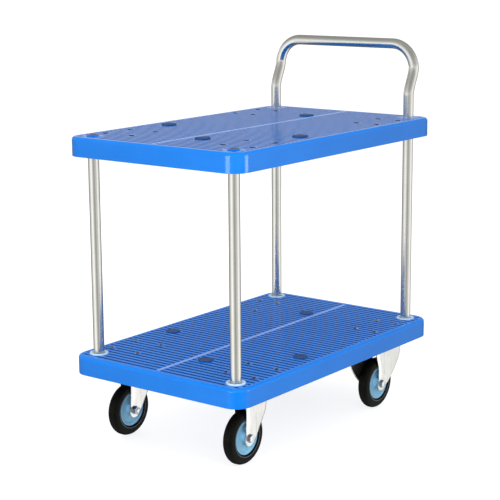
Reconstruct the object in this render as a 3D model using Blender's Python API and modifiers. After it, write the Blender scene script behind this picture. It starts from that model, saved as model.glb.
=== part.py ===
"""Two-deck platform cart with a fixed push handle.

Metres, +Z up. The origin is on the floor under the middle of the decks, +X points to the handle end
and +Y to the left-hand side. The casters at the front end (-X) swivel, those at the handle end are rigid.
"""
import math

import bmesh
import bpy
from mathutils import Matrix

GAP = 0.0003                    # clearance between pieces that touch

DECK_LENGTH = 0.780
DECK_WIDTH = 0.490
DECK_DEPTH = 0.044              # height of the skirt
DECK_CORNER = 0.038             # plan radius of the corners
DECK_EDGE = 0.007               # round along the top edge
DECK_SKIN = 0.0045
DECK_WALL = 0.004
STRIP = (0.740, 0.008, 0.0004)  # smooth strip along the middle of the top: length, width, height
LOWER_TOP = 0.206
UPPER_TOP = 0.7115

MAIN_RIB = (0.003, 0.0376)      # thickness, and depth of the lower edge below the deck's top
FINE_RIB = (0.0022, 0.0105)
FINE_RIB_PITCH = 0.045          # the fine ribs divide each bay evenly, about this far apart
BOSS_DEPTH = 0.038              # underside of the bosses, below the deck's top

POST_X = 0.3455
POST_Y = 0.2005
TUBE_RADIUS = 0.0125
TUBE_WALL = 0.0016
SOCKET_RADIUS = 0.018
SOCKET_FLOOR = 0.006
POST_FOOT = LOWER_TOP - BOSS_DEPTH + SOCKET_FLOOR + GAP
COLLAR_RADIUS = 0.0215
COLLAR_HEIGHT = 0.0032
CAP_RADIUS = 0.014
CAP_HEIGHT = 0.0018
CAP_STEM = 0.012

HANDLE_TOP = 0.900
HANDLE_OFFSET = 0.023           # how far the grip stands behind the posts
HANDLE_BEND_LOW = 0.764
HANDLE_BEND_HIGH = 0.836
HANDLE_CORNER = 0.061           # centreline radius of the two upper corners

PLUG_RADIUS = 0.018
PLUG_HEIGHT = 0.0022
PLUG_STEM_RADIUS = 0.010
PLUG_STEM = 0.0042
PLUGS = {"a": (-0.0953, 0.190), "b": (-0.2444, -0.0347), "c": (0.2400, 0.0290), "d": (-0.0965, -0.192)}

BOLT_RADIUS = 0.004
BOLT_HEAD_RADIUS = 0.007
BOLT_HEAD_HEIGHT = 0.003
NUT_FLAT = 0.0065               # half the width across flats
NUT_HEIGHT = 0.0065
BOLT_TIP = 0.0015
BOLT_BOSS_RADIUS = 0.010

WHEEL_RADIUS = 0.0625
TYRE_WIDTH = 0.028
TYRE_SEAT = 0.0396
TYRE_SHOULDER = 0.011
TYRE_SIDES = 32
HUB_HALF_WIDTH = 0.016
HUB_BOSS_RADIUS = 0.013
HUB_WEB = 0.0045                # half the thickness of the web
HUB_RIM = 0.0345                # inner radius of the rim
HUB_RIM_HALF = 0.0105
AXLE_RADIUS = 0.005
AXLE_HEAD_FLAT = 0.0085
AXLE_HEAD_HEIGHT = 0.0064
AXLE_NUT_HEIGHT = 0.008

SHEET = 0.003                   # fork and bracket sheet
PLATE = 0.0035
LEG_INNER = 0.0175              # inner face of a leg from the wheel's middle plane
TONGUE = 0.0165                 # round end of a leg about the axle
PLATE_TOP = LOWER_TOP - BOSS_DEPTH - GAP

SWIVEL_X = -0.2515
SWIVEL_Y = 0.1700
SWIVEL_TRAIL = 0.032
SWIVEL_PLATE = (0.104, 0.100)
SWIVEL_BOLTS = (0.041, 0.0395)
RACE_RADIUS = 0.033
RACE_BORE = 0.020
RACE_DEPTH = 0.012
CUP_RADIUS = 0.029
CROWN_TOP = 0.1405
KINGPIN_RADIUS = 0.006
KINGPIN_HEAD_RADIUS = 0.011
KINGPIN_HEAD = 0.005

RIGID_X = 0.2340
RIGID_Y = 0.1830
RIGID_PLATE = (0.180, 0.076)
RIGID_BOLTS = (0.0475, 0.028)

SIDES = {"left": 1, "right": -1}
ENDS = {"front": -1, "rear": 1}
FINISHES = {                    # colour, roughness, metallic
    "deck_plastic": ((0.03, 0.22, 0.82), 0.35, 0.0),
    "steel_tube": ((0.62, 0.61, 0.57), 0.30, 1.0),
    "zinc": ((0.80, 0.79, 0.75), 0.35, 1.0),
    "tyre_rubber": ((0.012, 0.012, 0.012), 0.60, 0.0),
    "hub_plastic": ((0.32, 0.62, 0.83), 0.40, 0.0),
    "collar_plastic": ((0.66, 0.82, 0.92), 0.40, 0.0),
    "plug_plastic": ((0.02, 0.07, 0.22), 0.40, 0.0),
}


# ---------------------------------------------------------------- modelling helpers

def clear_scene():
    for item in list(bpy.data.objects):
        bpy.data.objects.remove(item, do_unlink=True)


def finish_material(name):
    material = bpy.data.materials.get(name)
    if material is None:
        colour, roughness, metallic = FINISHES[name]
        material = bpy.data.materials.new(name)
        material.use_nodes = True
        shader = material.node_tree.nodes["Principled BSDF"]
        shader.inputs["Base Color"].default_value = (*colour, 1.0)
        shader.inputs["Roughness"].default_value = roughness
        shader.inputs["Metallic"].default_value = metallic
    return material


def evaluated(source):
    """The source object's mesh with its modifiers applied; the source goes."""
    bpy.context.view_layer.update()
    graph = bpy.context.evaluated_depsgraph_get()
    mesh = bpy.data.meshes.new_from_object(source.evaluated_get(graph))
    bpy.data.objects.remove(source, do_unlink=True)
    return mesh


def scratch(data):
    item = bpy.data.objects.new("scratch", data)
    bpy.context.scene.collection.objects.link(item)
    return item


def to_mesh(bm):
    mesh = bpy.data.meshes.new("shape")
    bm.to_mesh(mesh)
    bm.free()
    return mesh


def boxes(*blocks):
    """Blocks given as (size, centre), in one mesh."""
    bm = bmesh.new()
    for size, centre in blocks:
        matrix = Matrix.Translation(centre) @ Matrix.Diagonal((*size, 1.0))
        bmesh.ops.create_cube(bm, size=1.0, matrix=matrix)
    return to_mesh(bm)


def cylinders(radius, low, high, centres, sides=16):
    """Upright cylinders of one radius between two heights, in one mesh."""
    bm = bmesh.new()
    for x, y in centres:
        matrix = Matrix.Translation((x, y, (low + high) / 2)) @ Matrix.Rotation(math.pi / sides, 4, "Z")
        bmesh.ops.create_cone(bm, cap_ends=True, segments=sides, radius1=radius, radius2=radius,
                              depth=high - low, matrix=matrix)
    return to_mesh(bm)


def bores(radius, low, high, centres, sides=16):
    """Cutters whose flats, not whose corners, lie on the radius."""
    return cylinders(radius / math.cos(math.pi / sides), low, high, centres, sides)


def hexagon(flat, low, high):
    """A hexagonal prism whose flats face +Y and -Y."""
    bm = bmesh.new()
    radius = flat / math.cos(math.pi / 6)
    matrix = Matrix.Translation((0, 0, (low + high) / 2)) @ Matrix.Rotation(math.pi / 6, 4, "Z")
    bmesh.ops.create_cone(bm, cap_ends=True, segments=6, radius1=radius, radius2=radius,
                          depth=high - low, matrix=matrix)
    return to_mesh(bm)


def turned(profile, sides, closed=False):
    """A profile of (radius, height) points turned about Z; a closed profile makes a ring."""
    mesh = bpy.data.meshes.new("profile")
    count = len(profile)
    edges = [(i, i + 1) for i in range(count - 1)]
    if closed:
        edges.append((count - 1, 0))
    mesh.from_pydata([(radius, 0.0, height) for radius, height in profile], edges, [])
    source = scratch(mesh)
    screw = source.modifiers.new("Turn", "SCREW")
    screw.steps = sides
    screw.render_steps = sides
    screw.use_merge_vertices = True
    screw.merge_threshold = 0.00001
    return evaluated(source)


def flat_solid(outline, low, high):
    """A flat outline in XY given thickness between two heights."""
    curve = bpy.data.curves.new("outline", "CURVE")
    curve.dimensions = "2D"
    curve.fill_mode = "BOTH"
    curve.extrude = (high - low) / 2
    spline = curve.splines.new("POLY")
    spline.points.add(len(outline) - 1)
    for point, (x, y) in zip(spline.points, outline):
        point.co = (x, y, 0.0, 1.0)
    spline.use_cyclic_u = True
    mesh = evaluated(scratch(curve))
    mesh.transform(Matrix.Translation((0, 0, (low + high) / 2)))
    bm = bmesh.new()
    bm.from_mesh(mesh)
    bmesh.ops.remove_doubles(bm, verts=bm.verts, dist=0.00001)
    bmesh.ops.dissolve_limit(bm, angle_limit=math.radians(0.5), verts=bm.verts, edges=bm.edges)
    bmesh.ops.recalc_face_normals(bm, faces=bm.faces)
    return to_mesh(bm)


def combined(base, *steps):
    """The base mesh after Boolean steps of (operation, mesh)."""
    source = scratch(base)
    operands = []
    for operation, mesh in steps:
        operand = scratch(mesh)
        modifier = source.modifiers.new(operation, "BOOLEAN")
        modifier.operation = operation
        modifier.object = operand
        operands.append(operand)
    result = evaluated(source)
    for operand in operands:
        bpy.data.objects.remove(operand, do_unlink=True)
    bm = bmesh.new()
    bm.from_mesh(result)
    bmesh.ops.remove_doubles(bm, verts=bm.verts, dist=0.000005)
    bmesh.ops.dissolve_limit(bm, angle_limit=math.radians(0.2), verts=bm.verts, edges=bm.edges)
    return to_mesh(bm)


def arc(centre, radius, start, end, steps):
    """Points on an arc, angles in degrees."""
    angles = [math.radians(start + (end - start) * i / steps) for i in range(steps + 1)]
    return [(centre[0] + radius * math.cos(a), centre[1] + radius * math.sin(a)) for a in angles]


def rounded_rectangle(length, width, radius, steps=5):
    x, y = length / 2 - radius, width / 2 - radius
    corners = (((x, y), 0), ((-x, y), 90), ((-x, -y), 180), ((x, -y), 270))
    return [point for centre, start in corners for point in arc(centre, radius, start, start + 90, steps)]


def place(name, mesh, finish, location=(0, 0, 0), parent=None, smooth=True):
    """Add a finished piece to the cart; its location is in its parent's space."""
    piece = bpy.data.objects.new(name, mesh)
    bpy.data.collections["platform_cart"].objects.link(piece)
    piece.location = location
    piece.parent = parent
    if not mesh.materials:
        mesh.materials.append(finish_material(finish))
    if smooth:
        mesh.shade_smooth()
        mesh.set_sharp_from_angle(angle=math.radians(35))
    return piece


def pivot(name, location, parent=None):
    """An empty on a joint's axis, which carries the pieces that turn."""
    empty = bpy.data.objects.new(name, None)
    empty.empty_display_size = 0.03
    bpy.data.collections["platform_cart"].objects.link(empty)
    empty.location = location
    empty.parent = parent
    return empty


# ---------------------------------------------------------------- decks

def bolt_spots():
    """The plan positions of the sixteen caster bolts."""
    spots = []
    for side in SIDES.values():
        for sx in (-1, 1):
            for sy in (-1, 1):
                spots.append((SWIVEL_X + sx * SWIVEL_BOLTS[0], side * SWIVEL_Y + sy * SWIVEL_BOLTS[1]))
                spots.append((RIGID_X + sx * RIGID_BOLTS[0], side * RIGID_Y + sy * RIGID_BOLTS[1]))
    return spots


def post_spots():
    return [(sx * POST_X, sy * POST_Y) for sx in (-1, 1) for sy in (-1, 1)]


def deck_tray():
    """The plain tray: a rounded slab with a rounded top edge, hollow from below. Top at z = 0."""
    mesh = flat_solid(rounded_rectangle(DECK_LENGTH, DECK_WIDTH, DECK_CORNER), -DECK_DEPTH, 0.0)
    weights = mesh.attributes.new("bevel_weight_edge", "FLOAT", "EDGE")
    for edge in mesh.edges:
        if all(mesh.vertices[i].co.z > -0.001 for i in edge.vertices):
            weights.data[edge.index].value = 1.0
    source = scratch(mesh)
    bevel = source.modifiers.new("Edge", "BEVEL")
    bevel.limit_method = "WEIGHT"
    bevel.width = DECK_EDGE
    bevel.segments = 2
    inset = 2 * DECK_WALL
    cavity = flat_solid(rounded_rectangle(DECK_LENGTH - inset, DECK_WIDTH - inset, DECK_CORNER - DECK_WALL),
                        -DECK_DEPTH - 0.01, -DECK_SKIN)
    return combined(evaluated(source), ("DIFFERENCE", cavity))


def main_rib_lines():
    """The main cross ribs run through the bolt bosses and the middle, the only main long rib along y = 0."""
    bolt_columns = [SWIVEL_X - SWIVEL_BOLTS[0], SWIVEL_X + SWIVEL_BOLTS[0],
                    RIGID_X - RIGID_BOLTS[0], RIGID_X + RIGID_BOLTS[0]]
    middle = (bolt_columns[1] + bolt_columns[2]) / 2
    return sorted(bolt_columns + [middle]), [0.0]


def fine_rib_lines(main, half_span):
    """Positions that divide the bays between the main ribs and the skirt evenly."""
    edges = [-half_span, *main, half_span]
    lines = []
    for low, high in zip(edges, edges[1:]):
        count = round((high - low) / FINE_RIB_PITCH)
        lines += [low + (high - low) * i / count for i in range(1, count)]
    return lines


def rib_blocks(lines_x, lines_y, section):
    """Ribs of one section across the deck and along it, from inside the skin and the skirt."""
    thickness, depth = section
    height = depth - DECK_SKIN / 2
    middle = -(depth + DECK_SKIN / 2) / 2
    cross = [((thickness, DECK_WIDTH - DECK_WALL, height), (x, 0, middle)) for x in lines_x]
    long = [((DECK_LENGTH - DECK_WALL, thickness, height), (0, y, middle)) for y in lines_y]
    return [("UNION", boxes(*cross)), ("UNION", boxes(*long))]


def deck_ribs():
    """Deep main ribs, and shallow fine ribs between them."""
    main_x, main_y = main_rib_lines()
    fine_x = fine_rib_lines(main_x, DECK_LENGTH / 2 - DECK_WALL)
    fine_y = fine_rib_lines(main_y, DECK_WIDTH / 2 - DECK_WALL)
    return rib_blocks(main_x, main_y, MAIN_RIB) + rib_blocks(fine_x, fine_y, FINE_RIB)


def deck_mesh(sockets_open):
    """One deck. Open sockets let the posts through; closed ones have a floor with a bolt hole."""
    skin = -DECK_SKIN / 2
    below = -DECK_DEPTH - 0.01
    floor = -BOSS_DEPTH + SOCKET_FLOOR
    length, width, height = STRIP
    strip = boxes(((length, width, height - skin), (0, 0, (height + skin) / 2)))
    steps = [
        ("UNION", strip),
        *deck_ribs(),
        ("UNION", cylinders(SOCKET_RADIUS, -BOSS_DEPTH, skin, post_spots(), 12)),
        ("UNION", cylinders(BOLT_BOSS_RADIUS, -BOSS_DEPTH, skin, bolt_spots(), 6)),
        ("DIFFERENCE", bores(TUBE_RADIUS + GAP, below if sockets_open else floor, 0.01, post_spots(), 12)),
        ("DIFFERENCE", bores(BOLT_RADIUS + GAP, below, 0.01, bolt_spots(), 6)),
        ("DIFFERENCE", bores(PLUG_STEM_RADIUS + GAP, -DECK_SKIN - GAP, 0.01, PLUGS.values(), 8)),
    ]
    if not sockets_open:
        steps.append(("DIFFERENCE", bores(BOLT_RADIUS + GAP, below, floor + 0.001, post_spots(), 6)))
    return combined(deck_tray(), *steps)


def deck_plug_mesh():
    """A round button with a short stem that snaps into the deck."""
    crown = PLUG_HEIGHT + GAP
    profile = [(0, crown), (PLUG_RADIUS - 0.0015, crown), (PLUG_RADIUS, GAP), (PLUG_STEM_RADIUS, GAP),
               (PLUG_STEM_RADIUS, -PLUG_STEM), (0, -PLUG_STEM)]
    return turned(profile, 14)


def build_decks():
    place("upper_deck", deck_mesh(sockets_open=True), "deck_plastic", (0, 0, UPPER_TOP))
    place("lower_deck", deck_mesh(sockets_open=False), "deck_plastic", (0, 0, LOWER_TOP))
    plug = deck_plug_mesh()
    for level, top in (("upper", UPPER_TOP), ("lower", LOWER_TOP)):
        for letter, (x, y) in PLUGS.items():
            place(f"{level}_deck_plug_{letter}", plug, "plug_plastic", (x, y, top))


# ---------------------------------------------------------------- posts and handle

def tube_ring(low, high, sides=16):
    inner = TUBE_RADIUS - TUBE_WALL
    return turned([(TUBE_RADIUS, high), (TUBE_RADIUS, low), (inner, low), (inner, high)], sides, closed=True)


def handle_path():
    """The centreline of one half, from the foot of the post to the middle of the grip."""
    grip_x = POST_X + HANDLE_OFFSET
    grip_z = HANDLE_TOP - TUBE_RADIUS
    points = [(POST_X, POST_Y, POST_FOOT)]
    steps = 6
    for i in range(steps + 1):
        t = i / steps
        points.append((POST_X + HANDLE_OFFSET * t * t * (3 - 2 * t), POST_Y,
                       HANDLE_BEND_LOW + (HANDLE_BEND_HIGH - HANDLE_BEND_LOW) * t))
    corner = (POST_Y - HANDLE_CORNER, grip_z - HANDLE_CORNER)
    start = max(0.0, math.degrees(math.asin((HANDLE_BEND_HIGH - corner[1]) / HANDLE_CORNER)))
    for y, z in arc(corner, HANDLE_CORNER, start, 90, 7)[1:]:
        points.append((grip_x, y, z))
    return points


def handle_mesh():
    half = handle_path()
    path = half + [(x, -y, z) for x, y, z in reversed(half)]
    curve = bpy.data.curves.new("handle", "CURVE")
    curve.dimensions = "3D"
    curve.bevel_depth = TUBE_RADIUS
    curve.bevel_resolution = 4
    spline = curve.splines.new("POLY")
    spline.points.add(len(path) - 1)
    for point, position in zip(spline.points, path):
        point.co = (*position, 1.0)
    source = scratch(evaluated(scratch(curve)))
    wall = source.modifiers.new("Wall", "SOLIDIFY")
    wall.thickness = TUBE_WALL
    wall.offset = -1.0
    return evaluated(source)


def collar_mesh():
    bore = TUBE_RADIUS + GAP
    top = COLLAR_HEIGHT + GAP
    profile = [(COLLAR_RADIUS - 0.0012, top), (COLLAR_RADIUS, top - 0.0012), (COLLAR_RADIUS, GAP), (bore, GAP),
               (bore, top)]
    return turned(profile, 16, closed=True)


def cap_mesh():
    """A domed cap with a stem that plugs the open top of a front post."""
    stem = TUBE_RADIUS - TUBE_WALL - 2 * GAP
    top = CAP_HEIGHT + GAP
    profile = [(0, top), (CAP_RADIUS - 0.002, top), (CAP_RADIUS, GAP), (stem, GAP), (stem, -CAP_STEM),
               (0, -CAP_STEM)]
    return turned(profile, 16)


def post_bolt_mesh():
    """A hexagon bolt through the socket's floor, screwed into the insert in the post's foot."""
    underside = LOWER_TOP - BOSS_DEPTH - GAP
    radius = TUBE_RADIUS - TUBE_WALL - 2 * GAP
    insert = cylinders(radius, POST_FOOT, POST_FOOT + 0.018, [(0, 0)], 10)
    shank = cylinders(BOLT_RADIUS, underside - 0.002, POST_FOOT + 0.004, [(0, 0)], 6)
    head = hexagon(NUT_FLAT, underside - 0.0053, underside)
    return combined(insert, ("UNION", shank), ("UNION", head))


def build_frame():
    place("handle_frame", handle_mesh(), "steel_tube")
    post = tube_ring(POST_FOOT, UPPER_TOP - 0.001)
    cap, collar, bolt = cap_mesh(), collar_mesh(), post_bolt_mesh()
    for side, sy in SIDES.items():
        place(f"front_post_{side}", post, "steel_tube", (-POST_X, sy * POST_Y, 0))
        place(f"post_cap_{side}", cap, "plug_plastic", (-POST_X, sy * POST_Y, UPPER_TOP))
        for end, sx in ENDS.items():
            place(f"post_collar_{end}_{side}", collar, "collar_plastic", (sx * POST_X, sy * POST_Y, LOWER_TOP))
            place(f"post_bolt_{end}_{side}", bolt, "zinc", (sx * POST_X, sy * POST_Y, 0))


# ---------------------------------------------------------------- wheels

def to_axle(mesh, turn=0.0):
    """Lay a shape that was turned about Z onto the Y axis, after an optional turn."""
    mesh.transform(Matrix.Rotation(math.pi / 2, 4, "X") @ Matrix.Rotation(turn, 4, "Z"))
    return mesh


def tyre_mesh():
    """A ring with rounded shoulders; its flats lie on the nominal radius, one of them underneath."""
    half = TYRE_WIDTH / 2
    tread = WHEEL_RADIUS / math.cos(math.pi / TYRE_SIDES)
    shoulder = arc((tread - TYRE_SHOULDER, half - TYRE_SHOULDER), TYRE_SHOULDER, 90, 0, 2)
    upper = [(TYRE_SEAT, half - 0.002)] + shoulder
    profile = upper + [(radius, -height) for radius, height in reversed(upper)]
    return to_axle(turned(profile, TYRE_SIDES, closed=True), math.pi / TYRE_SIDES)


def hub_mesh():
    """A one-piece centre with a boss, a thin web and a rim."""
    bore = (AXLE_RADIUS + GAP) / math.cos(math.pi / 20)
    outer = (TYRE_SEAT - GAP) * math.cos(math.pi / TYRE_SIDES)
    upper = [(bore, HUB_HALF_WIDTH), (HUB_BOSS_RADIUS, HUB_HALF_WIDTH), (HUB_BOSS_RADIUS + 0.001, HUB_WEB),
             (HUB_RIM, HUB_WEB), (outer, HUB_RIM_HALF)]
    profile = upper + [(radius, -height) for radius, height in reversed(upper)]
    return to_axle(turned(profile, 20, closed=True))


def axle_mesh():
    """A hexagon bolt along Y, head outside at -Y, with its nut; the legs and hub run on its shank."""
    outside = LEG_INNER + SHEET + GAP
    far = outside + AXLE_NUT_HEIGHT
    shank = cylinders(AXLE_RADIUS, -outside - 0.002, far + 0.002, [(0, 0)], 10)
    head = hexagon(AXLE_HEAD_FLAT, outside, outside + AXLE_HEAD_HEIGHT)
    nut = hexagon(AXLE_HEAD_FLAT, -far, -outside)
    shank.transform(Matrix.Rotation(math.pi, 4, "X"))
    return to_axle(combined(shank, ("UNION", head), ("UNION", nut)))


def leg_solid(leading, trailing, middle_y):
    """A pressed leg in the XZ plane about the axle: a round tongue below, spreading upwards."""
    tongue = arc((0.0, -0.001), TONGUE, 170, 330, 6)
    mesh = flat_solid(leading + tongue + trailing, -SHEET / 2, SHEET / 2)
    mesh.transform(Matrix.Translation((0, middle_y, 0)) @ Matrix.Rotation(math.pi / 2, 4, "X"))
    return mesh


def cross_pin(radius):
    """A cutter for the axle's hole in both legs."""
    return to_axle(bores(radius, -0.05, 0.05, [(0, 0)], 12))


def bolt_mesh():
    """A pan-head bolt from the deck's top through the caster plate, with its nut. Deck top at z = 0."""
    under = -BOSS_DEPTH - GAP - PLATE - GAP
    head = turned([(0, GAP + BOLT_HEAD_HEIGHT), (BOLT_HEAD_RADIUS * 0.8, GAP + BOLT_HEAD_HEIGHT),
                   (BOLT_HEAD_RADIUS, GAP), (0, GAP)], 8)
    shank = cylinders(BOLT_RADIUS, under - NUT_HEIGHT - BOLT_TIP, GAP + 0.001, [(0, 0)], 6)
    return combined(head, ("UNION", shank), ("UNION", hexagon(NUT_FLAT, under - NUT_HEIGHT, under)))


def bolt_holes(pattern, low, high):
    spots = [(sx * pattern[0], sy * pattern[1]) for sx in (-1, 1) for sy in (-1, 1)]
    return bores(BOLT_RADIUS + GAP, low, high, spots, 6)


# ---------------------------------------------------------------- casters

def swivel_plate_mesh():
    """The fixed top plate with the bearing race under it. The kingpin's axis is the local Z axis."""
    low = PLATE_TOP - PLATE
    plate = flat_solid(rounded_rectangle(*SWIVEL_PLATE, 0.010, 3), low, PLATE_TOP)
    race = turned([(RACE_RADIUS - 0.004, low + 0.001), (RACE_RADIUS, low - 0.004),
                   (RACE_RADIUS, low - RACE_DEPTH), (RACE_BORE, low - RACE_DEPTH),
                   (RACE_BORE, low + 0.001)], 20, closed=True)
    bore = bores(KINGPIN_RADIUS + GAP, low - 0.02, PLATE_TOP + 0.01, [(0, 0)], 12)
    return combined(plate, ("UNION", race), ("DIFFERENCE", bore),
                    ("DIFFERENCE", bolt_holes(SWIVEL_BOLTS, low - 0.01, PLATE_TOP + 0.01)))


def kingpin_mesh():
    """The rivet that holds the fork to the plate."""
    head_top = CROWN_TOP - SHEET - GAP
    profile = [(0, PLATE_TOP), (KINGPIN_RADIUS, PLATE_TOP), (KINGPIN_RADIUS, head_top),
               (KINGPIN_HEAD_RADIUS, head_top), (KINGPIN_HEAD_RADIUS, head_top - KINGPIN_HEAD + 0.002),
               (KINGPIN_HEAD_RADIUS - 0.003, head_top - KINGPIN_HEAD), (0, head_top - KINGPIN_HEAD)]
    return turned(profile, 12)


def fork_mesh():
    """The swivel fork about the kingpin's axis: crown, bearing cup and two legs that trail to -X."""
    top = CROWN_TOP - WHEEL_RADIUS
    leading = [(-0.009, top), (-0.009, 0.024)]
    trailing = [(0.055, 0.043), (0.061, 0.060), (0.062, top)]
    legs = [leg_solid(leading, trailing, side * (LEG_INNER + SHEET / 2)) for side in (1, -1)]
    to_axle_frame = Matrix.Translation((-SWIVEL_TRAIL, 0, WHEEL_RADIUS))
    for leg in legs:
        leg.transform(to_axle_frame)
    front, back = -SWIVEL_TRAIL - 0.0088, -SWIVEL_TRAIL + 0.0618
    crown = boxes(((back - front, 2 * LEG_INNER + SHEET, SHEET), ((front + back) / 2, 0, CROWN_TOP - SHEET / 2)))
    rim = PLATE_TOP - PLATE - RACE_DEPTH - GAP
    cup = cylinders(CUP_RADIUS, CROWN_TOP - 0.001, rim, [(0, 0)], 20)
    bore = bores(KINGPIN_RADIUS + GAP, CROWN_TOP - 0.02, rim + 0.01, [(0, 0)], 12)
    hole = cross_pin(AXLE_RADIUS + GAP)
    hole.transform(to_axle_frame)
    return combined(crown, ("UNION", legs[0]), ("UNION", legs[1]), ("UNION", cup),
                    ("DIFFERENCE", bore), ("DIFFERENCE", hole))


def bracket_mesh():
    """The rigid bracket about the point above the axle. Its two legs are alike, one turned half round."""
    low = PLATE_TOP - PLATE
    top = low + 0.001 - WHEEL_RADIUS
    leading = [(-0.022, top), (-0.020, 0.075), (-0.008, 0.040), (-0.008, 0.020)]
    trailing = [(0.036, 0.004), (0.066, 0.031), (0.083, 0.055), (0.088, 0.076), (0.088, top)]
    near = leg_solid(leading, trailing, -(LEG_INNER + SHEET / 2))
    far = leg_solid(leading, trailing, -(LEG_INNER + SHEET / 2))
    far.transform(Matrix.Rotation(math.pi, 4, "Z"))
    hole = cross_pin(AXLE_RADIUS + GAP)
    for shape in (near, far, hole):
        shape.transform(Matrix.Translation((0, 0, WHEEL_RADIUS)))
    plate = flat_solid(rounded_rectangle(*RIGID_PLATE, 0.010, 3), low, PLATE_TOP)
    return combined(plate, ("UNION", near), ("UNION", far), ("DIFFERENCE", hole),
                    ("DIFFERENCE", bolt_holes(RIGID_BOLTS, low - 0.01, PLATE_TOP + 0.01)))


def build_wheel(tag, meshes, axle, carrier):
    """A tyre and its hub on a pivot at the axle."""
    tyre, hub = meshes
    spin = pivot(f"axle_{tag}", axle, carrier)
    place(f"tyre_{tag}", tyre, "tyre_rubber", parent=spin)
    place(f"hub_{tag}", hub, "hub_plastic", parent=spin)


def build_bolts(tag, mesh, centre, pattern):
    corners = [(sx, sy) for sx in (-1, 1) for sy in (-1, 1)]
    for number, (sx, sy) in enumerate(corners, start=1):
        spot = (centre[0] + sx * pattern[0], centre[1] + sy * pattern[1], LOWER_TOP)
        place(f"caster_bolt_{tag}_{number}", mesh, "zinc", spot)


def build_casters():
    wheel = (tyre_mesh(), hub_mesh())
    axle, bolt = axle_mesh(), bolt_mesh()
    plate, kingpin, fork, bracket = swivel_plate_mesh(), kingpin_mesh(), fork_mesh(), bracket_mesh()
    mirrored_axle = axle.copy()
    mirrored_axle.transform(Matrix.Rotation(math.pi, 4, "Z"))
    for side, sy in SIDES.items():
        outside_axle = axle if sy < 0 else mirrored_axle
        tag = f"front_{side}"
        centre = (SWIVEL_X, sy * SWIVEL_Y, 0)
        place(f"swivel_plate_{side}", plate, "zinc", centre)
        place(f"kingpin_{side}", kingpin, "zinc", centre)
        swivel = pivot(f"swivel_{tag}", centre)
        place(f"swivel_fork_{side}", fork, "zinc", parent=swivel)
        trail = (-SWIVEL_TRAIL, 0, WHEEL_RADIUS)
        place(f"axle_bolt_{tag}", outside_axle, "zinc", trail, swivel)
        build_wheel(tag, wheel, trail, swivel)
        build_bolts(tag, bolt, centre, SWIVEL_BOLTS)

        tag = f"rear_{side}"
        centre = (RIGID_X, sy * RIGID_Y, 0)
        place(f"rigid_bracket_{side}", bracket, "zinc", centre)
        place(f"axle_bolt_{tag}", outside_axle, "zinc", (centre[0], centre[1], WHEEL_RADIUS))
        build_wheel(tag, wheel, (centre[0], centre[1], WHEEL_RADIUS), None)
        build_bolts(tag, bolt, centre, RIGID_BOLTS)


def main():
    clear_scene()
    cart = bpy.data.collections.new("platform_cart")
    bpy.context.scene.collection.children.link(cart)
    build_decks()
    build_frame()
    build_casters()
    bpy.context.view_layer.update()


main()
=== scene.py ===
"""Looks for a two-deck platform cart: fine meshes, materials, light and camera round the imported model.

Metres, in the row frame: origin on the floor under the decks, +X to the handle, +Y left, +Z up.
"""
import math

import bmesh
import bpy
from mathutils import Matrix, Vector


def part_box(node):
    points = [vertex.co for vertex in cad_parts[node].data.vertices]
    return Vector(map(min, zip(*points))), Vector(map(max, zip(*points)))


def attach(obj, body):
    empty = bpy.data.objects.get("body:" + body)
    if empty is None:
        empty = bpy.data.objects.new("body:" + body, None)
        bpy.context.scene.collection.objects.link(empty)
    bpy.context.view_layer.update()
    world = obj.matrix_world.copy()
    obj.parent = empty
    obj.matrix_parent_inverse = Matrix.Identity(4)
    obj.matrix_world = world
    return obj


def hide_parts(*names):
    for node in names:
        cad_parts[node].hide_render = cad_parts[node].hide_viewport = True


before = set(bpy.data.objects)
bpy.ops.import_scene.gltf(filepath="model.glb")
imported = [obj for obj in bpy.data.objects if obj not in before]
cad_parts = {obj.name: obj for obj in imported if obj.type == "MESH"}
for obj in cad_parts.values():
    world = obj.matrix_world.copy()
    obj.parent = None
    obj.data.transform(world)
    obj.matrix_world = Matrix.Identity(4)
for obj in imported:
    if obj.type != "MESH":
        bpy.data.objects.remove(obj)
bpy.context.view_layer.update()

SIDES = ("left", "right")
ENDS = ("front", "rear")
CORNERS = [f"{end}_{side}" for end in ENDS for side in SIDES]


def centre_of(node):
    low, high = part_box(node)
    return (low + high) / 2


# ---- sizes read from the frame

DECK_LOW, DECK_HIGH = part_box("lower_deck")
STRIP_HEIGHT = 0.0004
LOWER_TOP = DECK_HIGH.z - STRIP_HEIGHT
UPPER_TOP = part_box("upper_deck")[1].z - STRIP_HEIGHT
DECK_LENGTH = DECK_HIGH.x - DECK_LOW.x
DECK_WIDTH = DECK_HIGH.y - DECK_LOW.y
DECK_DEPTH = LOWER_TOP - DECK_LOW.z
POST_SPOTS = [centre_of(f"post_collar_{tag}").xy for tag in CORNERS]
BOLT_NODES = [f"caster_bolt_{tag}_{number}" for tag in CORNERS for number in range(1, 5)]
BOLT_SPOTS = [centre_of(node).xy for node in BOLT_NODES]
PLUG_SPOTS = [centre_of(f"lower_deck_plug_{letter}").xy for letter in "abcd"]
TUBE_RADIUS = (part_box("front_post_left")[1].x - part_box("front_post_left")[0].x) / 2
WHEEL_RADIUS = centre_of("tyre_front_left").z

# ---- sizes of the fine shapes

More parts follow.
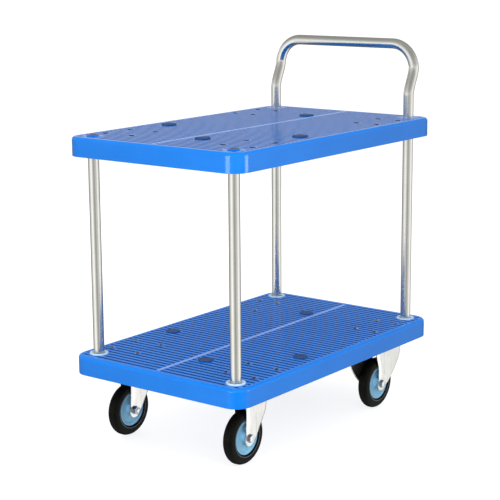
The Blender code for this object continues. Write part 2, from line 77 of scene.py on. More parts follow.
DECK_CORNER = 0.038
DECK_EDGE = 0.007
DECK_SKIN = 0.0045
DECK_WALL = 0.004
STRIP_SIZE = (0.740, 0.008)
GROOVE_PITCH = 0.016
GROOVE_COUNT = 47
GROOVE_DEPTH = 0.0011
GROOVE_HALF = 0.0033           # half of a groove's width at the deck's surface
FIELD_INSET = 0.012            # smooth border round the grooved field
BOLT_PAD = 0.0098
POST_PAD = 0.0255
PLUG_PAD = 0.0205
MAIN_RIB = (0.003, 0.0376)
FINE_RIB = (0.0022, 0.0105)
FINE_RIB_PITCH = 0.045
BOSS_DEPTH = 0.038
SOCKET_RADIUS = 0.018
SOCKET_FLOOR = 0.006
BOLT_BOSS_RADIUS = 0.010
BOLT_HOLE = 0.0043
TUBE_WALL = 0.0016
GAP = 0.0003
BOLT_SHANK = 0.00398
NUT_FLAT = 0.0065              # half of an M8 nut's width across its flats
AXLE_HOLE = 0.0053
PIN_HOLE = 0.0063


# ---- mesh helpers

def scratch(data):
    item = bpy.data.objects.new("scratch", data)
    bpy.context.scene.collection.objects.link(item)
    return item


def evaluated(source):
    """The source object's mesh with its modifiers applied; the source goes."""
    bpy.context.view_layer.update()
    graph = bpy.context.evaluated_depsgraph_get()
    mesh = bpy.data.meshes.new_from_object(source.evaluated_get(graph))
    bpy.data.objects.remove(source, do_unlink=True)
    return mesh


def to_mesh(bm):
    bmesh.ops.recalc_face_normals(bm, faces=bm.faces)
    mesh = bpy.data.meshes.new("shape")
    bm.to_mesh(mesh)
    bm.free()
    return mesh


def joined(*meshes):
    bm = bmesh.new()
    for mesh in meshes:
        bm.from_mesh(mesh)
    return to_mesh(bm)


def arc(centre, radius, start, end, steps):
    """Points on an arc, angles in degrees."""
    angles = [math.radians(start + (end - start) * i / steps) for i in range(steps + 1)]
    return [(centre[0] + radius * math.cos(a), centre[1] + radius * math.sin(a)) for a in angles]


def rounded_rectangle(length, width, radius, steps):
    x, y = length / 2 - radius, width / 2 - radius
    corners = (((x, y), 0), ((-x, y), 90), ((-x, -y), 180), ((x, -y), 270))
    return [point for centre, start in corners for point in arc(centre, radius, start, start + 90, steps)]


def stack_rings(bm, rings):
    """Join rings of equally many points into one closed skin with flat ends."""
    rows = [[bm.verts.new(point) for point in ring] for ring in rings]
    count = len(rows[0])
    for upper, lower in zip(rows, rows[1:]):
        for i in range(count):
            j = (i + 1) % count
            bm.faces.new((upper[i], upper[j], lower[j], lower[i]))
    bm.faces.new(rows[0])
    bm.faces.new(list(reversed(rows[-1])))


def rounded_block(bm, length, width, radius, profile, steps, centre=(0.0, 0.0)):
    """A rounded rectangle swept through a profile of (inset, height)."""
    rings = []
    for inset, height in profile:
        corner = max(radius - inset, 0.0003)
        outline = rounded_rectangle(length - 2 * inset, width - 2 * inset, corner, steps)
        rings.append([(centre[0] + x, centre[1] + y, height) for x, y in outline])
    stack_rings(bm, rings)


def turned(profile, sides, closed=False):
    """A profile of (radius, height) points turned about Z; a closed profile makes a ring."""
    mesh = bpy.data.meshes.new("profile")
    count = len(profile)
    edges = [(i, i + 1) for i in range(count - 1)]
    if closed:
        edges.append((count - 1, 0))
    mesh.from_pydata([(radius, 0.0, height) for radius, height in profile], edges, [])
    source = scratch(mesh)
    screw = source.modifiers.new("Turn", "SCREW")
    screw.steps = sides
    screw.render_steps = sides
    screw.use_merge_vertices = True
    screw.merge_threshold = 0.000001
    return joined(evaluated(source))


def raised(base, points):
    """A profile whose heights are counted from a base."""
    return [(radius, base + height) for radius, height in points]


def disc(radius, top, bottom, sides):
    return turned([(0, top), (radius, top), (radius, bottom), (0, bottom)], sides)


def cylinders(radius, low, high, centres, sides=24):
    """Upright cylinders of one radius between two heights, in one mesh."""
    bm = bmesh.new()
    for x, y in centres:
        bmesh.ops.create_cone(bm, cap_ends=True, segments=sides, radius1=radius, radius2=radius,
                              depth=high - low, matrix=Matrix.Translation((x, y, (low + high) / 2)))
    return to_mesh(bm)


def flat_solid(outline, low, high):
    """A flat outline in XY given thickness between two heights."""
    bm = bmesh.new()
    stack_rings(bm, [[(x, y, height) for x, y in outline] for height in (high, low)])
    return to_mesh(bm)


def combined(base, *steps):
    """The base mesh after Boolean steps of (operation, mesh). Cut faces keep the cutter's material."""
    source = scratch(base)
    operands = []
    for operation, mesh in steps:
        operand = scratch(mesh)
        modifier = source.modifiers.new(operation, "BOOLEAN")
        modifier.operation = operation
        modifier.object = operand
        modifier.material_mode = "TRANSFER"
        operands.append(operand)
    result = evaluated(source)
    for operand in operands:
        bpy.data.objects.remove(operand, do_unlink=True)
    bm = bmesh.new()
    bm.from_mesh(result)
    bmesh.ops.remove_doubles(bm, verts=bm.verts, dist=0.000002)
    bm.to_mesh(result)
    bm.free()
    return result


def bevelled(mesh, width, segments, angle):
    """The mesh with its sharp edges rounded."""
    source = scratch(mesh)
    bevel = source.modifiers.new("Round", "BEVEL")
    bevel.width = width
    bevel.segments = segments
    bevel.limit_method = "ANGLE"
    bevel.angle_limit = math.radians(angle)
    bevel.use_clamp_overlap = True
    return evaluated(source)


def shaded(mesh, angle=32):
    """Smooth shading that keeps large flat faces flat."""
    mesh.shade_smooth()
    mesh.set_sharp_from_angle(angle=math.radians(angle))
    source = scratch(mesh)
    weighted = source.modifiers.new("Normals", "WEIGHTED_NORMAL")
    weighted.mode = "FACE_AREA"
    weighted.keep_sharp = True
    return evaluated(source)


def paint(mesh, base, accent, chosen):
    """Two materials on one mesh: the accent on the faces whose centre the test picks."""
    mesh.materials.clear()
    for name in (base, accent):
        mesh.materials.append(MATERIALS[name])
    for face in mesh.polygons:
        face.material_index = 1 if chosen(face.center) else 0
    return mesh


def add_piece(name, mesh, nodes, material, location=(0.0, 0.0, 0.0), body="chassis"):
    """Put a finished mesh in the scene, on its body, in place of the CAD nodes."""
    piece = bpy.data.objects.new(name, mesh)
    bpy.context.scene.collection.objects.link(piece)
    piece.location = location
    if not mesh.materials:
        mesh.materials.append(MATERIALS[material])
    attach(piece, body)
    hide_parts(*nodes)
    return piece


# ---- material helpers

def mixed(tree, factor, first, second):
    """A colour between two colours; each is a socket or an RGB triple."""
    node = tree.nodes.new("ShaderNodeMix")
    node.data_type = "RGBA"
    tree.links.new(factor, node.inputs["Factor"])
    for socket, colour in ((node.inputs[6], first), (node.inputs[7], second)):
        if isinstance(colour, tuple):
            socket.default_value = (*colour, 1.0)
        else:
            tree.links.new(colour, socket)
    return node.outputs[2]


class Finish:
    """A node material on a Principled shader, with its textures in object coordinates."""

    def __init__(self, name, **sockets):
        self.material = bpy.data.materials.new(name)
        self.material.use_nodes = True
        self.tree = self.material.node_tree
        self.shader = self.tree.nodes["Principled BSDF"]
        self.place = self.tree.nodes.new("ShaderNodeTexCoord").outputs["Object"]
        for socket, value in sockets.items():
            self.shader.inputs[socket.replace("_", " ")].default_value = value

    def made(self, kind, linked, **values):
        """A node with one socket linked and others set."""
        node = self.tree.nodes.new(f"ShaderNode{kind}")
        for socket, value in values.items():
            node.inputs[socket.replace("_", " ")].default_value = value
        self.tree.links.new(linked[1], node.inputs[linked[0]])
        return node

    def noise(self, scale, detail=3.0, rough=0.55, stretch=(1.0, 1.0, 1.0), distortion=0.0):
        """A noise of this many features a metre, before the stretch."""
        mapping = self.made("Mapping", ("Vector", self.place), Scale=stretch)
        texture = self.made("TexNoise", ("Vector", mapping.outputs["Vector"]), Scale=scale, Detail=detail,
                            Roughness=rough, Distortion=distortion)
        return texture.outputs["Fac"]

    def cells(self, scale, stretch=(1.0, 1.0, 1.0)):
        mapping = self.made("Mapping", ("Vector", self.place), Scale=stretch)
        texture = self.made("TexVoronoi", ("Vector", mapping.outputs["Vector"]), Scale=scale)
        return texture.outputs["Color"]

    def span(self, value, low, high, to_low=0.0, to_high=1.0):
        """A value between low and high spread to another range, and clamped to it."""
        node = self.made("MapRange", ("Value", value), From_Min=low, From_Max=high,
                         To_Min=to_low, To_Max=to_high)
        return node.outputs["Result"]

    def tint(self, value, low, high, first, second):
        """From the first colour where the value is low to the second where it is high."""
        return mixed(self.tree, self.span(value, low, high), first, second)

    def relief(self, height, distance, strength=1.0):
        node = self.made("Bump", ("Height", height), Distance=distance, Strength=strength)
        return node.outputs["Normal"]

    def use(self, colour, roughness, normal):
        for socket, output in (("Base Color", colour), ("Roughness", roughness), ("Normal", normal)):
            self.tree.links.new(output, self.shader.inputs[socket])
        return self.material


def clouded(name, noise, spread, colours, roughness, relief, grain=None, **sockets):
    """A finish whose colour and roughness follow one cloudy noise, and its relief that or a grain."""
    finish = Finish(name, **sockets)
    cloud = finish.noise(*noise)
    height = finish.noise(*grain) if grain else cloud
    return finish.use(finish.tint(cloud, *spread, *colours), finish.span(cloud, 0.3, 0.7, *roughness),
                      finish.relief(height, *relief))


def deck_blue():
    """Moulded polypropylene: bright blue, a fine moulding grain, faint flow marks and scuffs."""
    finish = Finish("deck_blue", IOR=1.36)
    flow = finish.noise(5.0, 4.0, stretch=(1.0, 1.0, 2.5), distortion=0.6)
    grain = finish.noise(900.0, 2.0)
    scuffs = finish.noise(70.0, 4.0, 0.6, stretch=(1.0, 0.25, 1.0))
    colour = finish.tint(flow, 0.35, 0.65, (0.0008, 0.222, 0.86), (0.0035, 0.246, 0.92))
    roughness = finish.span(scuffs, 0.35, 0.75, 0.14, 0.20)
    normal = finish.relief(grain, 0.00002, 0.35)
    return finish.use(colour, roughness, normal)


def groove_painted_shade():
    """The floors of the grooves: the same plastic, spark-eroded matt, and coloured far darker than the
    deck as painted shade in the grooves.
    """
    finish = Finish("groove_painted_shade", IOR=1.30)
    stipple = finish.noise(900.0, 3.0, 0.7)
    dust = finish.noise(30.0, 5.0, 0.65)
    # painted shade: the groove floors are a much darker blue than the deck
    colour = finish.tint(dust, 0.35, 0.7, (0.001, 0.045, 0.20), (0.004, 0.062, 0.25))
    normal = finish.relief(stipple, 0.00012, 0.8)
    return finish.use(colour, finish.span(stipple, 0.3, 0.7, 0.55, 0.75), normal)


def hole_painted_shade():
    """The walls of the bolt holes, matt, coloured near black as painted shade deep in the holes."""
    return clouded("hole_painted_shade", (700.0, 4.0, 0.7), (0.35, 0.7),
                   ((0.0008, 0.010, 0.040), (0.002, 0.025, 0.085)),
                   (0.6, 0.8), (0.00010, 0.6), Specular_IOR_Level=0.05)


def strip_painted_sheen():
    """The raised smooth strip, coloured a pale blue as a painted sheen: the reflection a smooth strip
    shows at a low angle.
    """
    return clouded("strip_painted_sheen", (90.0, 5.0, 0.7, (0.12, 1.0, 1.0)), (0.3, 0.75),
                   ((0.20, 0.37, 0.86), (0.36, 0.52, 0.92)), (0.20, 0.34), (0.00008, 0.4), IOR=1.52)


def satin_steel():
    """Stainless tube with the fine rings of a belt polisher."""
    finish = Finish("satin_steel", Metallic=1.0)
    rings = finish.noise(40.0, 5.0, 0.7, stretch=(0.25, 0.25, 30.0))
    haze = finish.noise(9.0, 4.0, 0.6)
    colour = finish.tint(haze, 0.3, 0.7, (0.64, 0.635, 0.585), (0.72, 0.715, 0.67))
    roughness = finish.span(rings, 0.3, 0.7, 0.19, 0.25)
    return finish.use(colour, roughness, finish.relief(rings, 0.00001, 0.2))


def bright_zinc():
    """Zinc plate on pressed sheet: faint crystals, drawn streaks and dull patches."""
    finish = Finish("bright_zinc", Metallic=0.94)
    crystals = finish.cells(260.0, stretch=(1.0, 1.0, 0.6))
    patches = finish.noise(28.0, 5.0, 0.65)
    streaks = finish.noise(150.0, 4.0, 0.65, stretch=(1.0, 1.0, 0.06))
    base = finish.tint(patches, 0.3, 0.72, (0.80, 0.795, 0.755), (0.95, 0.945, 0.915))
    colour = finish.tint(streaks, 0.42, 0.30, base, (0.62, 0.61, 0.57))
    roughness = finish.span(crystals, 0.0, 1.0, 0.22, 0.27)
    return finish.use(colour, roughness, finish.relief(streaks, 0.00005, 0.25))


def zinc_painted_shade():
    """The inner faces of the pressed legs and the undersides of the plates, coloured dark as painted shade
    between the legs and under the plates.
    """
    return clouded("zinc_painted_shade", (55.0, 6.0, 0.7), (0.35, 0.7),
                   ((0.012, 0.011, 0.010), (0.075, 0.070, 0.062)), (0.62, 0.38), (0.00008, 0.5),
                   (900.0, 3.0, 0.7), Metallic=0.55)


def bolt_zinc():
    """Bolt heads, nuts and washers in a darker, bluish zinc: painted shade and a painted blue reflection
    of the decks in the colour.
    """
    return clouded("bolt_zinc", (420.0, 5.0, 0.7), (0.35, 0.7),
                   ((0.24, 0.27, 0.32), (0.60, 0.66, 0.74)), (0.42, 0.24), (0.00003, 0.4),
                   (1500.0, 3.0, 0.6), Metallic=1.0)


def ring_grey():
    """The smoother moulded ring on a tyre's sidewall, coloured grey-blue as a painted highlight on the
    raised ring.
    """
    return clouded("ring_grey", (200.0, 4.0, 0.6), (0.35, 0.7),
                   ((0.030, 0.050, 0.065), (0.075, 0.110, 0.135)), (0.24, 0.38), (0.00004, 0.4), IOR=1.5)


def tyre_black():
    """Black rubber with a matt moulded skin and a trace of dust on the tread."""
    return clouded("tyre_black", (45.0, 5.0, 0.7), (0.45, 0.8),
                   ((0.0020, 0.0020, 0.0016), (0.0085, 0.0085, 0.0055)), (0.36, 0.55), (0.00012, 0.5),
                   (700.0, 4.0, 0.7), IOR=1.45, Specular_IOR_Level=0.10)


def hub_blue():
    """Light blue moulded wheel centre with a soft swirl of pigment."""
    return clouded("hub_blue", (38.0, 5.0, 0.6, (1.0, 1.0, 1.0), 1.4), (0.3, 0.7),
                   ((0.23, 0.54, 0.80), (0.34, 0.67, 0.90)), (0.28, 0.42), (0.00005, 0.5),
                   (1300.0, 2.0), IOR=1.47)


def collar_pale():
    """Pale blue-white moulded collar."""
    return clouded("collar_pale", (120.0, 4.0, 0.6), (0.3, 0.7),
                   ((0.50, 0.70, 0.86), (0.66, 0.82, 0.93)), (0.24, 0.40), (0.00006, 0.4), IOR=1.47)


def plug_dark():
    """Dark blue moulded plug, dusty on its top."""
    return clouded("plug_dark", (110.0, 6.0, 0.7), (0.4, 0.75),
                   ((0.004, 0.045, 0.17), (0.016, 0.090, 0.30)), (0.38, 0.60), (0.00006, 0.5),
                   (1500.0, 2.0), IOR=1.47)


def cap_dark():
    """The dusty dark middle of the cap in the top of a front post."""
    return clouded("cap_dark", (160.0, 6.0, 0.7), (0.4, 0.75),
                   ((0.040, 0.040, 0.040), (0.150, 0.140, 0.125)), (0.35, 0.60), (0.00006, 0.4), IOR=1.47)


MATERIALS = {make.__name__: make() for make in (
    deck_blue, groove_painted_shade, hole_painted_shade, strip_painted_sheen, satin_steel, bright_zinc, zinc_painted_shade, bolt_zinc,
    ring_grey, tyre_black, hub_blue, collar_pale, plug_dark, cap_dark)}


# ---- decks

def deck_tray():
    """Skirt, rounded top edge, skin and inner wall as one closed skin. Top at z = 0."""
    fillet = [(DECK_EDGE - x, z - DECK_EDGE) for x, z in arc((0.0, 0.0), DECK_EDGE, 90, 0, 7)]
    lip = raised(-DECK_DEPTH, [(0.0, 0.0007), (0.0003, 0.0002), (0.0009, 0.0), (DECK_WALL - 0.0008, 0.0),
                               (DECK_WALL - 0.0002, 0.0002), (DECK_WALL, 0.0008)])
    root = [(DECK_WALL + 0.0004, -DECK_SKIN - 0.0025), (DECK_WALL + 0.0012, -DECK_SKIN - 0.0008),
            (DECK_WALL + 0.0030, -DECK_SKIN)]
    bm = bmesh.new()
    rounded_block(bm, DECK_LENGTH, DECK_WIDTH, DECK_CORNER, fillet + lip + root, 9)
    return to_mesh(bm)


def groove_reach(x):
    """How far a groove at x runs towards the long edge, inside the field's rounded corner."""
    corner_x = DECK_LENGTH / 2 - DECK_CORNER
    corner_y = DECK_WIDTH / 2 - DECK_CORNER
    radius = DECK_CORNER - FIELD_INSET
    over = max(0.0, abs(x) - corner_x)
    return corner_y + math.sqrt(max(0.0, radius ** 2 - over ** 2))


def groove_cutter():
    """Every groove of one deck, with the smooth pads round the bolts, posts and plugs left standing."""
    profile = [(-0.0008, 0.001), (0.0, 0.0), (0.0005, -0.0004), (0.0008, 0.0002 - GROOVE_DEPTH),
               (0.0014, -GROOVE_DEPTH)]
    start = STRIP_SIZE[1] / 2 + 0.0018
    bm = bmesh.new()
    for i in range(GROOVE_COUNT):
        x = (i - (GROOVE_COUNT - 1) / 2) * GROOVE_PITCH
        end = groove_reach(x)
        for side in (-1, 1):
            centre = (x, side * (start + end) / 2)
            rounded_block(bm, 2 * GROOVE_HALF, end - start, 0.0030, profile, 2, centre)
    cutter = to_mesh(bm)
    pads = [("DIFFERENCE", cylinders(radius, -0.01, 0.01, spots, sides))
            for radius, spots, sides in ((BOLT_PAD, BOLT_SPOTS, 20), (POST_PAD, POST_SPOTS, 32),
                                         (PLUG_PAD, PLUG_SPOTS, 32))]
    cutter = combined(cutter, *pads)
    # The groove floors take the painted-shade material, a much darker blue than the deck.
    cutter.materials.clear()
    cutter.materials.append(MATERIALS["groove_painted_shade"])
    return cutter


def main_rib_lines():
    """Cross ribs run through the bolt bosses and the middle, and one long rib along y = 0."""
    columns = sorted({round(x, 4) for x, _ in BOLT_SPOTS})
    middle = (columns[1] + columns[2]) / 2
    return sorted(columns + [middle]), [0.0]


def fine_rib_lines(main, half_span):
    edges = [-half_span, *main, half_span]
    lines = []
    for low, high in zip(edges, edges[1:]):
        count = round((high - low) / FINE_RIB_PITCH)
        lines += [low + (high - low) * i / count for i in range(1, count)]
    return lines


def rib_set(lines, length, section, along_x):
    """Ribs with a little draft, thinner at their lower edge."""
    thickness, depth = section
    top = -DECK_SKIN / 2
    bm = bmesh.new()
    for line in lines:
        rings = []
        for half, height in ((thickness / 2 + 0.0002, top), (thickness / 2 - 0.0002, 0.0004 - depth),
                             (thickness / 2 - 0.0006, -depth)):
            corners = [(length / 2, half), (-length / 2, half), (-length / 2, -half), (length / 2, -half)]
            if along_x:
                rings.append([(u, line + v, height) for u, v in corners])
            else:
                rings.append([(line - v, u, height) for u, v in corners])
        stack_rings(bm, rings)
    return to_mesh(bm)


def deck_ribs():
    main_x, main_y = main_rib_lines()
    fine_x = fine_rib_lines(main_x, DECK_LENGTH / 2 - DECK_WALL)
    fine_y = fine_rib_lines(main_y, DECK_WIDTH / 2 - DECK_WALL)
    across = DECK_WIDTH - DECK_WALL
    along = DECK_LENGTH - DECK_WALL
    sets = ((main_x, across, MAIN_RIB, False), (main_y, along, MAIN_RIB, True),
            (fine_x, across, FINE_RIB, False), (fine_y, along, FINE_RIB, True))
    return [("UNION", rib_set(*ribs)) for ribs in sets]


def bolt_bores(mouth):
    """Cutters for the sixteen bolt holes, widened to the mouth's radius at the deck's surface."""
    low = -DECK_DEPTH - 0.01
    bm = bmesh.new()
    for x, y in BOLT_SPOTS:
        rings = [[(x + px, y + py, height) for px, py in arc((0, 0), radius, 0, 345, 23)]
                 for radius, height in ((mouth + 0.0003, 0.001), (mouth, 0.0), (mouth - 0.0003, -0.0030),
                                        (BOLT_HOLE, -0.0044), (BOLT_HOLE, low))]
        stack_rings(bm, rings)
    cutter = to_mesh(bm)
    # The hole walls take painted shade: near black.
    cutter.materials.append(MATERIALS["hole_painted_shade"])
    return cutter


def deck_common():
    """What both decks share: the tray with its ribs, bosses, strip and grooves."""
    strip_profile = [(0.0009, STRIP_HEIGHT), (0.0003, STRIP_HEIGHT - 0.0001), (0.0, 0.0),
                     (0.0, -DECK_SKIN / 2)]
    bm = bmesh.new()
    rounded_block(bm, *STRIP_SIZE, 0.0039, strip_profile, 4)
    strip = to_mesh(bm)
    # The strip takes a painted sheen: a paler blue than the deck.
    strip.materials.append(MATERIALS["strip_painted_sheen"])
    tray = deck_tray()
    tray.materials.append(MATERIALS["deck_blue"])
    skin = -DECK_SKIN / 2
    return combined(tray, *deck_ribs(),
                    ("UNION", cylinders(BOLT_BOSS_RADIUS, -BOSS_DEPTH, skin, BOLT_SPOTS)),
                    ("UNION", cylinders(SOCKET_RADIUS, -BOSS_DEPTH, skin, POST_SPOTS, 36)),
                    ("UNION", strip),
                    ("DIFFERENCE", groove_cutter()))


def build_decks():
    common = deck_common()
    floor = -BOSS_DEPTH + SOCKET_FLOOR
    below = -DECK_DEPTH - 0.01
    bore = TUBE_RADIUS + GAP
    for level, top, low, mouth in (("upper", UPPER_TOP, below, 0.0074),
                                   ("lower", LOWER_TOP, floor, 0.0061)):
        cuts = [("DIFFERENCE", cylinders(bore, low, 0.01, POST_SPOTS, 40)),
                ("DIFFERENCE", bolt_bores(mouth))]
        if level == "lower":
            cuts.append(("DIFFERENCE", cylinders(BOLT_HOLE, below, floor + 0.001, POST_SPOTS, 20)))
        mesh = shaded(combined(common.copy(), *cuts))
        add_piece(f"{level}_deck_moulding", mesh, [f"{level}_deck"], "deck_blue",
                  (0.0, 0.0, top))


def build_plugs():
    """Round snap-in plugs: a shallow dished crown with a rounded rim."""
    low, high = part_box("lower_deck_plug_a")
    radius = (high.x - low.x) / 2
    crown = high.z - LOWER_TOP
    rim = arc((radius - 0.0012, crown - 0.0012), 0.0012, 80, 0, 5)
    profile = [(0, crown - 0.0005), (radius * 0.55, crown - 0.0004), (radius * 0.80, crown - 0.0001),
               (radius - 0.0024, crown), *rim, (radius, GAP), (0.0098, GAP), (0.0098, -0.0042),
               (0, -0.0042)]
    mesh = shaded(turned(profile, 56))
    for level, top in (("upper", UPPER_TOP), ("lower", LOWER_TOP)):
        for letter, spot in zip("abcd", PLUG_SPOTS):
            add_piece(f"{level}_plug_{letter}", mesh, [f"{level}_deck_plug_{letter}"],
                      "plug_dark", (spot.x, spot.y, top))


# ---- posts and handle

def tube_mesh(path):
    """A round tube with a wall along a smooth path, its ends open."""
    curve = bpy.data.curves.new("tube", "CURVE")
    curve.dimensions = "3D"
    curve.bevel_depth = TUBE_RADIUS
    curve.bevel_resolution = 9
    spline = curve.splines.new("POLY")
    spline.points.add(len(path) - 1)
    for point, position in zip(spline.points, path):
        point.co = (*position, 1.0)
    source = scratch(evaluated(scratch(curve)))
    wall = source.modifiers.new("Wall", "SOLIDIFY")
    wall.thickness = TUBE_WALL
    wall.offset = -1.0
    return evaluated(source)


def handle_path():
    """The centreline: up one post, through the shallow S bend, over the grip and down the other post."""
    low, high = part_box("handle_frame")
    post = POST_SPOTS[CORNERS.index("rear_left")]
    grip_x = high.x - TUBE_RADIUS
    grip_z = high.z - TUBE_RADIUS
    bend_low, bend_high, corner_radius = 0.764, 0.836, 0.061
    half = [(post.x, post.y, low.z)]
    steps = 18
    for i in range(steps + 1):
        t = i / steps
        x = post.x + (grip_x - post.x) * t * t * (3 - 2 * t)
        half.append((x, post.y, bend_low + (bend_high - bend_low) * t))
    corner = (post.y - corner_radius, grip_z - corner_radius)
    start = max(0.0, math.degrees(math.asin((bend_high - corner[1]) / corner_radius)))
    half += [(grip_x, y, z) for y, z in arc(corner, corner_radius, start, 90, 20)[1:]]
    return half + [(x, -y, z) for x, y, z in reversed(half)]


def build_tubes():
    handle = shaded(tube_mesh(handle_path()))
    add_piece("push_handle", handle, ["handle_frame"], "satin_steel")
    low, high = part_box("front_post_left")
    post = shaded(tube_mesh([(0, 0, low.z), (0, 0, high.z)]))
    for side in SIDES:
        spot = POST_SPOTS[CORNERS.index(f"front_{side}")]
        add_piece(f"post_tube_{side}", post, [f"front_post_{side}"], "satin_steel",
                  (spot.x, spot.y, 0.0))


def build_collars():
    """Dished rings round the four posts on the lower deck."""
    low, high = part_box("post_collar_front_left")
    radius = (high.x - low.x) / 2
    height = high.z - LOWER_TOP
    bore = TUBE_RADIUS + GAP
    outer = arc((radius - 0.0014, height - 0.0014), 0.0014, 90, 0, 5)
    inner = [(bore, height - 0.0024), (bore + 0.0028, height - 0.0008), (bore + 0.0034, height - 0.0002),
             (bore + 0.0040, height)]
    collar = shaded(turned(inner + outer + [(radius, GAP), (bore, GAP)], 56, closed=True))
    for tag, spot in zip(CORNERS, POST_SPOTS):
        add_piece(f"collar_{tag}", collar, [f"post_collar_{tag}"], "collar_pale",
                  (spot.x, spot.y, LOWER_TOP))


def build_caps():
    """Caps in the tops of the front posts: a dark middle in a blue rim."""
    low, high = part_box("post_cap_left")
    radius = (high.x - low.x) / 2
    height = high.z - UPPER_TOP
    stem = TUBE_RADIUS - TUBE_WALL - 2 * GAP
    rim = arc((radius - 0.0009, GAP + 0.0009), 0.0009, 70, 0, 4)
    profile = [(0, height), (radius * 0.5, height - 0.0001), (radius * 0.76, height - 0.0003),
               (radius * 0.80, height - 0.0004)] + rim
    profile += [(radius, GAP), (stem, GAP), (stem - 0.0004, -0.0116), (stem - 0.0010, -0.0120),
                (0, -0.0120)]
    cap = shaded(paint(turned(profile, 48), "cap_dark", "deck_blue",
                       lambda centre: centre.xy.length > radius * 0.82))
    for side in SIDES:
        spot = POST_SPOTS[CORNERS.index(f"front_{side}")]
        add_piece(f"cap_{side}", cap, [f"post_cap_{side}"], "cap_dark",
                  (spot.x, spot.y, UPPER_TOP))


# ---- fasteners

def hexagon(flat, low, high, chamfered):
    """A hexagonal prism with its corners turned off at the chamfered ends ("low", "high")."""
    corner = flat / math.cos(math.pi / 6)
    outline = arc((0.0, 0.0), corner, 30, 330, 5)
    drop = (corner - flat) * 0.62
    top = [(corner * 1.01, high + 0.0002)]
    bottom = [(corner * 1.01, low - 0.0002)]
    if "high" in chamfered:
        top = [(flat * 0.97, high), (corner * 1.001, high - drop)]
    if "low" in chamfered:
        bottom = [(corner * 1.001, low + drop), (flat * 0.97, low)]
    cone = turned([(0, top[0][1]), *top, *bottom, (0, bottom[-1][1])], 48)
    return combined(flat_solid(outline, low, high), ("INTERSECT", cone))


def threaded(radius, low, high, pitch):
    """A shank with ring-shaped thread crests and a chamfered lower end."""
    profile = [(0, high), (radius, high)]
    count = int((high - low - pitch) / pitch)
    for i in range(count):
        z = low + pitch + (count - i) * pitch
        profile += [(radius, z), (radius * 0.87, z - pitch / 2)]
    profile += [(radius, low + pitch), (radius * 0.80, low), (0, low)]
    return turned(profile, 24)


def build_caster_bolts():
    """Pan-head bolts through deck and caster plate, each with its nut and washer face."""
    low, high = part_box(BOLT_NODES[0])
    head = 0.007
    top = high.z - LOWER_TOP
    under = -BOSS_DEPTH - 2 * GAP - 0.0035
    dome = arc((0.0, top - 0.0105), 0.0105, 90, 55, 6)
    profile = raised(top, [(0.0, -0.0019), (0.0026, -0.0019), (0.0028, -0.0006), (0.0031, -0.0003)])
    profile += [(x, z) for x, z in dome if 0.0036 < x < head - 0.0004]
    profile += [(head - 0.0001, GAP + 0.0007), (head, GAP + 0.0004), (head, GAP), (0.004, GAP),
                (0.004, -0.030), (0, -0.030)]
    shank = threaded(BOLT_SHANK, low.z - LOWER_TOP, -0.029, 0.00125)
    nut = hexagon(NUT_FLAT, under - 0.0065, under - 0.0007, ("low", "high"))
    washer = disc(0.0068, under, under - 0.0008, 32)
    mesh = shaded(joined(turned(profile, 40), shank, nut, washer))
    for node, spot in zip(BOLT_NODES, BOLT_SPOTS):
        tag = node.removeprefix("caster_bolt_")
        # The bolts take the darker bluish zinc: painted shade and painted reflection.
        add_piece(f"deck_bolt_{tag}", mesh, [node], "bolt_zinc", (spot.x, spot.y, LOWER_TOP))


def build_post_bolts():
    """Hexagon bolts that hold the posts' feet from below."""
    low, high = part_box("post_bolt_front_left")
    underside = LOWER_TOP - BOSS_DEPTH - GAP
    head = hexagon(NUT_FLAT, low.z, underside - 0.0008, ("low",))
    washer = disc(0.0075, underside, underside - 0.0010, 32)
    foot = underside + SOCKET_FLOOR + 2 * GAP
    shank = disc(BOLT_SHANK, foot + 0.002, underside - 0.001, 24)
    radius = TUBE_RADIUS - TUBE_WALL - 2 * GAP
    insert = turned([(0, high.z), (radius - 0.0006, high.z), (radius, high.z - 0.0006), (radius, foot),
                     (0, foot)], 32)
    mesh = shaded(joined(head, washer, shank, insert))
    for tag, spot in zip(CORNERS, POST_SPOTS):
        # The foot bolts take the darker bluish zinc: painted shade and painted reflection.
        add_piece(f"foot_bolt_{tag}", mesh, [f"post_bolt_{tag}"], "bolt_zinc",
                  (spot.x, spot.y, 0.0))


# ---- wheels

def to_axle(mesh):
    """Lay a shape turned about Z onto the Y axis: its +Z end points to -Y."""
    mesh.transform(Matrix.Rotation(math.pi / 2, 4, "X"))
    return mesh


def mirrored_profile(half):
    return half + [(radius, -height) for radius, height in reversed(half)]


def tyre_mesh():
    """Rounded shoulders, six fine tread lines and a raised ring on each sidewall."""
    half_width = 0.014
    seat = 0.0396
    tread = WHEEL_RADIUS - 0.0001
    side = half_width - 0.0008
    half = [(seat, side - 0.0020), (seat + 0.0010, side - 0.0009), (0.0426, side - 0.0004)]
    half += raised(side, [(0.0430, 0.0001), (0.0436, 0.0007), (0.0446, 0.0007), (0.0452, 0.0001)])
    half += arc((tread - 0.0120, side - 0.0120), 0.0120, 82, 14, 9)
    line_depth = 0.0003
    for z in (0.00275, 0.00165, 0.00055):
        shoulder = tread - line_depth * 0.1
        half += [(shoulder, z + 0.00035), (tread - line_depth, z), (shoulder, z - 0.00035)]
    tyre = to_axle(turned(mirrored_profile(half), 96, closed=True))
    # Painted highlight: the raised sidewall ring is coloured grey-blue.
    tyre = paint(tyre, "tyre_black", "ring_grey", lambda c: 0.0431 < math.hypot(c.x, c.z) < 0.0451)
    return shaded(tyre, 40)


